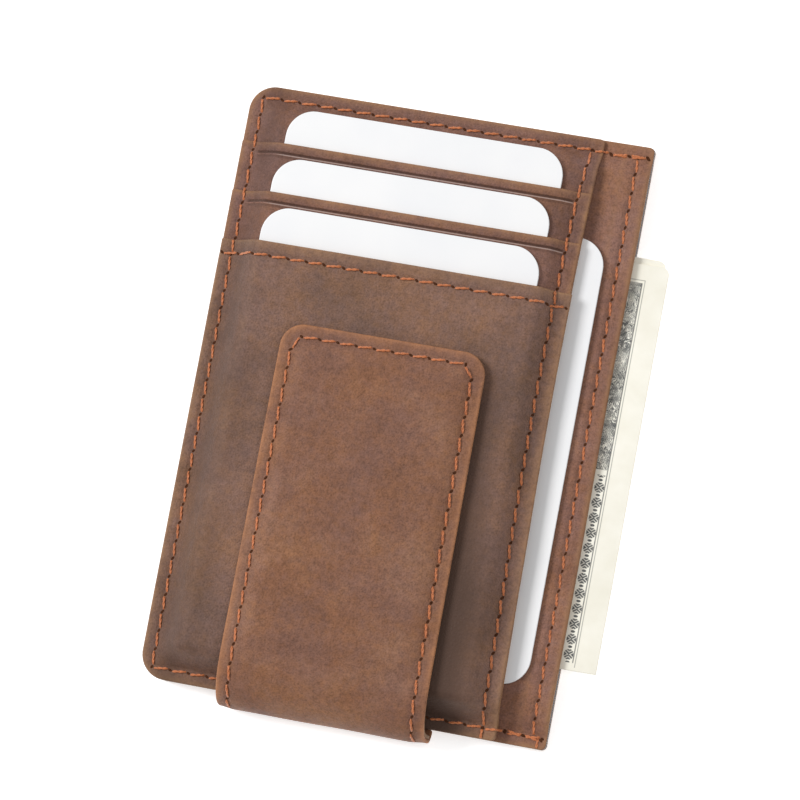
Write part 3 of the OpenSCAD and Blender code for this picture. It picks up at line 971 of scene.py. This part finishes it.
class Seam:
    """Gathers the stitches of one seam and the painted shade of its holes, then makes its two
    pieces.
    """

    def __init__(self, place, arch=0.2):
        self.place, self.arch = place, arch
        self.points, self.faces = [], []
        self.mouths, self.mouth_faces = [], []

    def tube(self, centres, radii):
        """A closed tube of six sides through points."""
        start = len(self.points)
        count = len(centres)
        ring = [math.radians(60 * k) for k in range(6)]
        for i, (x, y, h) in enumerate(centres):
            before, after = centres[max(i - 1, 0)], centres[min(i + 1, count - 1)]
            dx, dy = after[0] - before[0], after[1] - before[1]
            size = math.hypot(dx, dy) or 1
            sx, sy = -dy / size, dx / size
            for a in ring:
                r = radii[i]
                self.points.append((
                    x + sx * r * math.cos(a), y + sy * r * math.cos(a), h + r * math.sin(a)
                ))
        for i in range(count - 1):
            for k in range(6):
                p, q = start + 6 * i + k, start + 6 * i + (k + 1) % 6
                self.faces.append((p, q, q + 6, p + 6))
        self.faces.append(tuple(start + k for k in reversed(range(6))))
        self.faces.append(tuple(start + 6 * (count - 1) + k for k in range(6)))

    def stitch(self, a, b, lean=lean_across, sink=0.32):
        """One two-ply stitch from hole to hole."""
        dx, dy = b[0] - a[0], b[1] - a[1]
        run = math.hypot(dx, dy)
        ux, uy = dx / run, dy / run
        phase = chance.uniform(0, math.tau)
        arch = self.arch * chance.uniform(0.85, 1.15)
        turns = run / ply_turn
        for ply in (0, math.pi):
            centres, radii = [], []
            for i in range(11):
                t = i / 10
                end = (2 * t - 1) ** 6
                along = run * (0.085 + 0.83 * t)
                across = lean * (2 * t - 1)
                h = arch - (arch + sink) * end
                turn = phase + ply + math.tau * turns * t
                close = ply_off * (1 - 0.6 * end)
                across += close * math.cos(turn)
                centres.append((
                    a[0] + ux * along - uy * across, a[1] + uy * along + ux * across,
                    h + close * 0.7 * math.sin(turn),
                ))
                radii.append(ply_r * (1 - 0.35 * end))
            self.tube(centres, radii)

    def mouth(self, at, ux, uy):
        """A dark disc of painted shade at the mouth of an awl hole, slanted across the row."""
        start = len(self.mouths)
        slant = math.radians(hole_slant + chance.uniform(-8, 8))
        ax = ux * math.cos(slant) - uy * math.sin(slant)
        ay = uy * math.cos(slant) + ux * math.sin(slant)
        long_r = hole_long * chance.uniform(0.85, 1.1)
        sides = 12
        for h, grow in ((-0.12, 1.0), (0.02, 1.0), (0.035, 0.82)):
            for k in range(sides):
                t = math.tau * k / sides
                p, q = long_r * grow * math.cos(t), hole_short * grow * math.sin(t)
                self.mouths.append((at[0] + ax * p - ay * q, at[1] + ay * p + ax * q, h))
        for ring in (0, 1):
            for k in range(sides):
                p, q = start + sides * ring + k, start + sides * ring + (k + 1) % sides
                self.mouth_faces.append((p, q, q + sides, p + sides))
        self.mouth_faces.append(tuple(start + k for k in reversed(range(sides))))
        self.mouth_faces.append(tuple(start + 2 * sides + k for k in range(sides)))

    def row(self, a, b, first_hole=True, last_hole=True, lean=lean_across):
        """An even row of stitches between two points."""
        run = math.hypot(b[0] - a[0], b[1] - a[1])
        count = max(1, round(run / pitch))
        holes = []
        for i in range(count + 1):
            t = i / count
            shake = chance.uniform(-0.16, 0.16) / run if 0 < i < count else 0
            holes.append((a[0] + (b[0] - a[0]) * (t + shake), a[1] + (b[1] - a[1]) * (t + shake)))
        ux, uy = (b[0] - a[0]) / run, (b[1] - a[1]) / run
        for p, q in zip(holes, holes[1:]):
            self.stitch(p, q, lean)
        wanted = holes[0 if first_hole else 1:len(holes) if last_hole else -1]
        for hole in wanted:
            self.mouth(hole, ux, uy)

    def bent_row(self, ends):
        """A row that follows a slightly curved line through points."""
        ends = np.array(ends, float)
        s = np.concatenate([[0], np.cumsum(np.hypot(*np.diff(ends, axis=0).T))])
        count = round(s[-1] / pitch)
        marks = [s[-1] * i / count for i in range(count + 1)]
        holes = [tuple(float(np.interp(m, s, ends[:, k])) for k in (0, 1)) for m in marks]
        for p, q in zip(holes, holes[1:]):
            self.stitch(p, q)
            run = math.hypot(q[0] - p[0], q[1] - p[1])
            self.mouth(p, (q[0] - p[0]) / run, (q[1] - p[1]) / run)
        self.mouth(holes[-1], 0, 1)

    def made(self, name, node=None, ride=True):
        """The thread piece and the piece of painted hole shade, laid onto the leather."""
        pieces = []
        for points, faces, material, title, slot in (
            (self.points, self.faces, waxed_thread, f"{name}_thread", "thread"),
            (self.mouths, self.mouth_faces, awl_hole_shade, f"{name}_awl_hole_shades", "leather"),
        ):
            p = np.array(points, float)
            x, y, z = self.place(p[:, 0], p[:, 1], p[:, 2])
            piece = finish_mesh(title, np.stack([x, y, z], -1), faces, material)
            if ride:
                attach(piece, "wallet_body")
            pieces.append(piece)
        if node:
            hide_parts(node)
        return pieces


# Seam round the wallet, on the front.
col, low_y, high_y = left + 2.4, bottom + 2.1, top - 2.35
stack_top_x, stack_low_x = stack_right - 2.2, stack_right - 2.6
seam_end, sewn_back_to = right - 1.2, right - 8.2
round_seam = Seam(wallet_place)
round_seam.row((col, low_y), (col, high_y))
round_seam.row((col, high_y), (stack_top_x, high_y), first_hole=False)
round_seam.row((stack_top_x, high_y), (right - 1.0, high_y), first_hole=False)
round_seam.row((seam_end, high_y + 0.3), (sewn_back_to, high_y - 0.25), lean=-lean_across)
round_seam.row((col, low_y), (stack_low_x, low_y), first_hole=False)
round_seam.row((stack_low_x, low_y), (right - 1.0, low_y), first_hole=False)
round_seam.row((seam_end, low_y - 0.35), (sewn_back_to, low_y + 0.3), lean=-lean_across)
round_seam.made("perimeter", "perimeter_stitching")

# The same seam on the back, lying in its channel.
back_seam = Seam(back_place, 0.03)
back_seam.row((col, low_y), (col, high_y))
for y in (high_y, low_y):
    back_seam.row((col, y), (seam_end, y), first_hole=False)
back_seam.made("back_seam")

# Seam at the card stack's open side, drawn in with the leather.
stack_seam = Seam(wallet_place)
stack_line = []
for y in np.linspace(low_y, high_y, 40):
    ends_in = 2.2 + 0.45 * float(rise(top - y, 4, 12))
    stack_line.append((stack_right - float(stack_drawn_in(y)) - ends_in, y))
stack_seam.bent_row(stack_line)
over_edge = bottom - 0.15
stack_x = stack_line[0][0]
stack_seam.row(
    (stack_x, low_y), (stack_x, over_edge), first_hole=False, last_hole=False, lean=0
)
stack_seam.made("card_stack", "card_stack_stitching")

# Row below the front panel's upper edge.
edge_seam = Seam(wallet_place)
edge_seam.row(
    (left + 0.5, front_y1 - edge_row_in), (stack_right - 1.2, front_y1 - edge_row_in - 0.1),
)
edge_seam.made("pocket_edge", "pocket_edge_stitching")

# Hem of the base panel.
hem_seam = Seam(wallet_place, 0.05)
hem_x = right - hem_seam_in
hem_seam.row((hem_x, low_y), (hem_x, high_y))
hem_seam.row(
    (hem_x + 1.1, low_y + 0.2), (hem_x + 1.1, over_edge), first_hole=False, last_hole=False, lean=0
)
hem_seam.made("hem", "hem_stitching")

# Thread ties that close the floors of the two upper slots, out of sight.
new_finish("slot_floor_stitching", waxed_thread)

# Seam round the clip, from the fold on one side to the fold on the other.

def clip_place(x, s, h):
    return strap_point(x, s, outer_high(x, s) + h)


clip_seam = Seam(clip_place)
fold_s = 4.2
tip_s = strap_length - clip_seam_in - 0.1
seam_left = clip_x0 + clip_seam_in
seam_right = clip_x1 - clip_seam_in


def clip_side(x, side, s0, s1):
    points = []
    for s in np.linspace(s0, s1, 30):
        pull = float(narrowed_left(s)) if side < 0 else -float(narrowed_right(s))
        points.append((x + pull, s))
    return points


corner_cut = 1.3
left_line = clip_side(seam_left, -1, fold_s, tip_s - corner_cut)
right_line = clip_side(seam_right, 1, fold_s, tip_s - corner_cut)
across = [
    (left_line[-1][0] + corner_cut, tip_s), (right_line[-1][0] - corner_cut, tip_s)
]
clip_seam.bent_row(left_line + across + right_line[::-1])
for piece in clip_seam.made("clip", "clip_stitching", ride=False):
    bends_open(piece)

# ----------------------------------------------------------------------------
# Cards: four blank white plastic cards of the standard size, three upright in
# the stack's slots and one sideways in the slot behind it. They slide out.
# ----------------------------------------------------------------------------


def card_plastic():
    n = Nodes("card_plastic")
    haze = n.noise(14, 3)
    tone = n.ramp(haze, (0.35, (0.835, 0.84, 0.855)), (0.65, (0.86, 0.86, 0.865)))
    n.link(tone, n.shader.inputs["Base Color"])
    n.link(n.scaled(haze, 0.3, 0.7, 0.32, 0.42), n.shader.inputs["Roughness"])
    n.link(n.bump(n.noise(0.3, 2), 0.01, 0.2), n.shader.inputs["Normal"])
    return n.material


white_plastic = card_plastic()
for node, body in (
    ("card_1", "first_card"), ("card_2", "second_card"), ("card_3", "third_card"),
    ("side_card", "side_card_body"),
):
    (x0, y0, z0), (x1, y1, z1) = reach(node)
    card = cut_piece(
        f"{node}_blank", Plate(x0, x1, y0, y1, (5.3,) * 4),
        lambda x, y, z=z0: z + 0 * x, lambda x, y, z=z1: z + 0 * x, white_plastic, 0.1, 6,
    )
    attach(card, body)
    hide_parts(node)

# ----------------------------------------------------------------------------
# Banknotes: two sheets of cotton paper, each folded once across its middle,
# standing out of the cash pocket. The face is a made-up engraving of line
# foliage and a chain of leaves inside thin rules, with a wide cream margin.
# ----------------------------------------------------------------------------


def note_paper(name, right_edge, y_low, y_high):
    n = Nodes(name)
    axes = n.add("ShaderNodeSeparateXYZ")
    n.link(n.place, axes.inputs[0])
    x = n.sum(axes.outputs["X"], 1 / MM, "MULTIPLY")
    y = n.sum(axes.outputs["Y"], 1 / MM, "MULTIPLY")
    inward = n.sum(right_edge, x, "SUBTRACT")
    down = n.sum(y_high, y, "SUBTRACT")
    up = n.sum(y, y_low, "SUBTRACT")

    def past(value, at, soft=0.05):
        return n.scaled(value, at - soft, at + soft, 0, 1)

    def times(*parts):
        total = parts[0]
        for part in parts[1:]:
            total = n.sum(total, part, "MULTIPLY")
        return total

    def sine(value, size, shift=0.0):
        turned = n.sum(n.sum(value, math.tau / size, "MULTIPLY"), shift)
        return n.sum(turned, None, "SINE")

    # Engraved foliage: contour lines of a swirled field, thick and thin.
    swirl = n.noise(2.6, 2.0, 0.5, twist=1.6)
    lines = sine(n.sum(swirl, 10.0, "MULTIPLY"), 0.62)
    weight = n.scaled(n.noise(1.7, 2.0, 0.5, n.moved((0.3, 0.1, 0))), 0.35, 0.65, -0.3, 0.95)
    foliage = n.scaled(n.sum(lines, weight, "SUBTRACT"), -0.25, 0.25, 1, 0)
    hatch = past(sine(n.sum(x, n.sum(y, 0.8, "MULTIPLY")), 0.42), 0.2, 0.3)
    foliage = n.sum(n.sum(foliage, 0.88, "MULTIPLY"), n.sum(hatch, 0.25, "MULTIPLY"), "ADD", True)
    # A chain of oval leaves with chevron veins, and a bead between each two.
    from_row = n.sum(n.sum(inward, 5.75, "SUBTRACT"), None, "ABSOLUTE")
    from_leaf = n.sum(up, 1.45, "PINGPONG")

    def oval(a, half_a, b, half_b):
        wide, high = n.sum(a, 1 / half_a, "MULTIPLY"), n.sum(b, 1 / half_b, "MULTIPLY")
        round_it = n.sum(n.sum(wide, wide, "MULTIPLY"), n.sum(high, high, "MULTIPLY"))
        return n.scaled(round_it, 0.85, 1.1, 1, 0)

    slanted = n.sum(from_leaf, n.sum(from_row, 0.7, "MULTIPLY"), "SUBTRACT")
    vein = past(sine(slanted, 0.55), -0.35, 0.3)
    leaf = times(oval(from_row, 0.98, from_leaf, 1.02), n.sum(n.sum(vein, 0.75, "MULTIPLY"), 0.25))
    bead = oval(from_row, 0.42, n.sum(1.45, from_leaf, "SUBTRACT"), 0.24)
    beyond = n.sum(times(foliage, past(inward, 7.7, 0.1)), 0.75, "MULTIPLY")
    border = n.sum(n.sum(leaf, bead, "MAXIMUM"), beyond, "MAXIMUM")
    upper = past(up, 38.2, 0.1)
    lower = n.sum(1.0, past(up, 37.2, 0.1), "SUBTRACT")

    def band(value, at, width):
        return n.sum(past(value, at), past(value, at + width), "SUBTRACT")

    inner = times(past(inward, 4.7), past(down, 3.6), past(up, 1.4))
    ink = times(n.sum(times(foliage, upper), times(border, lower)), inner)
    rim_side = times(band(inward, 4.15, 0.16), past(down, 3.0), past(up, 0.6))
    rim_top = times(band(down, 3.0, 0.16), past(inward, 4.15))
    rules = n.sum(band(inward, 4.62, 0.2), band(inward, 7.35, 0.16))
    rule = times(rules, past(down, 3.6), past(up, 1.4), 0.9)
    rim = n.sum(n.sum(rim_side, rim_top, "MAXIMUM"), 0.6, "MULTIPLY")
    ink = n.sum(n.sum(ink, rule, "MAXIMUM"), rim, "MAXIMUM")
    ink = n.sum(ink, n.scaled(n.noise(0.35, 3), 0.25, 0.75, 0.8, 1.05), "MULTIPLY", True)
    paper = n.ramp(n.noise(5, 4), (0.3, (0.84, 0.81, 0.70)), (0.7, (0.91, 0.885, 0.79)))
    tone = n.mix(ink, paper, (0.055, 0.06, 0.065))
    n.link(tone, n.shader.inputs["Base Color"])
    n.shader.inputs["Roughness"].default_value = 0.85
    fibres = n.noise(0.5, 5, 0.7)
    n.link(n.bump(fibres, 0.03, 0.5), n.shader.inputs["Normal"])
    return n.material


leaf_t = 0.15
for node, body, lift in (("note_1", "top_note", 1.0), ("note_2", "under_note", 0.0)):
    (x0, y0, z0), (x1, y1, z1) = reach(node)
    note_h = y1 - y0
    turn_r = (z1 - z0 - leaf_t) / 2
    half = note_h - turn_r

    def folded(x, s, h, y0=y0, z0=z0, turn_r=turn_r, half=half, lift=lift, x1=x1):
        """Bends the flat note round its fold: lower leaf, fold, upper leaf."""
        angle = np.clip((s - half) / (math.pi * turn_r), 0, 1) * math.pi
        middle = z0 + leaf_t / 2 + turn_r
        r = turn_r - h
        y = y0 + turn_r - r * np.sin(angle)
        z = middle - r * np.cos(angle)
        y = y + np.maximum(half - s, 0) + np.maximum(s - half - math.pi * turn_r, 0)
        out = rise(x - right, -1, 8)
        wave = lift * out * (0.28 + 0.25 * np.sin(y / 9.0 + lift))
        return x, y, z + np.maximum(wave, 0)

    note = cut_piece(
        f"{node}_paper", Plate(x0, x1, 0, 2 * half + math.pi * turn_r, (1.6, 1.6, 1.4, 1.4)),
        lambda x, s: -leaf_t / 2 + 0 * x, lambda x, s: leaf_t / 2 + 0 * x,
        note_paper(f"{node}_engraving", x1, y0, y1), 0.05, 2.5,
        [half + v for v in np.linspace(0, math.pi * turn_r, 9)], place=folded,
    )
    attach(note, body)
    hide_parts(node)

# ----------------------------------------------------------------------------
# Studio: a plain white table, a soft window from the closed side, a wide lamp
# overhead and an even white surround, with the camera above the wallet.
# ----------------------------------------------------------------------------
scene = bpy.context.scene
scene.view_settings.view_transform = "Standard"

table_mesh = bpy.data.meshes.new("table")
table_half, table_z = 2.0, -0.02 * MM
table_mesh.from_pydata(
    [(table_half * a, table_half * b, table_z) for a, b in ((-1, -1), (1, -1), (1, 1), (-1, 1))],
    [], [(0, 1, 2, 3)],
)
table = bpy.data.objects.new("table", table_mesh)
scene.collection.objects.link(table)
paint = Nodes("table_paint")
paint.shader.inputs["Base Color"].default_value = (0.93, 0.93, 0.93, 1)
paint.shader.inputs["Roughness"].default_value = 0.9
paint.shader.inputs["Specular IOR Level"].default_value = 0.1
paint.shader.inputs["Emission Color"].default_value = (1, 1, 1, 1)
paint.shader.inputs["Emission Strength"].default_value = 0.5
table_mesh.materials.append(paint.material)

world = bpy.data.worlds.new("surround")
world.use_nodes = True
even_white = world.node_tree.nodes["Background"]
even_white.inputs["Color"].default_value = (1, 1, 1, 1)
even_white.inputs["Strength"].default_value = 0.44
scene.world = world


def soft_light(name, azimuth, elevation, distance, size, power):
    """A square soft box aimed at the wallet; azimuth is counted from +X."""
    data = bpy.data.lights.new(name, "AREA")
    data.shape = "SQUARE"
    data.size = size
    data.energy = power
    lamp = bpy.data.objects.new(name, data)
    a, e = math.radians(azimuth), math.radians(elevation)
    lamp.location = (
        distance * math.cos(e) * math.cos(a), distance * math.cos(e) * math.sin(a),
        distance * math.sin(e),
    )
    lamp.rotation_euler = (math.pi / 2 - e, 0, a + math.pi / 2)
    scene.collection.objects.link(lamp)


soft_light("window", 163, 45, 1.6, 0.6, 18.2)
soft_light("overhead", 12, 58, 1.8, 1.4, 7.8)

camera_far = 0.79
target = np.array([-0.02, 2.42, 2.0]) * MM
look = np.array([math.tan(math.radians(9.20)), -math.tan(math.radians(5.456)), 1.0])
look /= np.linalg.norm(look)
side = np.cross([0, 1, 0], look)
side /= np.linalg.norm(side)
upward = np.cross(look, side)
roll = math.radians(10.666)
camera_x = math.cos(roll) * side + math.sin(roll) * upward
camera_y = -math.sin(roll) * side + math.cos(roll) * upward
camera_data = bpy.data.cameras.new("camera")
camera_data.lens = 187.0
camera_data.sensor_width = 36
camera_data.clip_start = 0.05
camera = bpy.data.objects.new("camera", camera_data)
scene.collection.objects.link(camera)
camera.matrix_world = Matrix([
    [camera_x[i], camera_y[i], look[i], target[i] + camera_far * look[i]] for i in range(3)
] + [[0, 0, 0, 1]])
scene.camera = camera
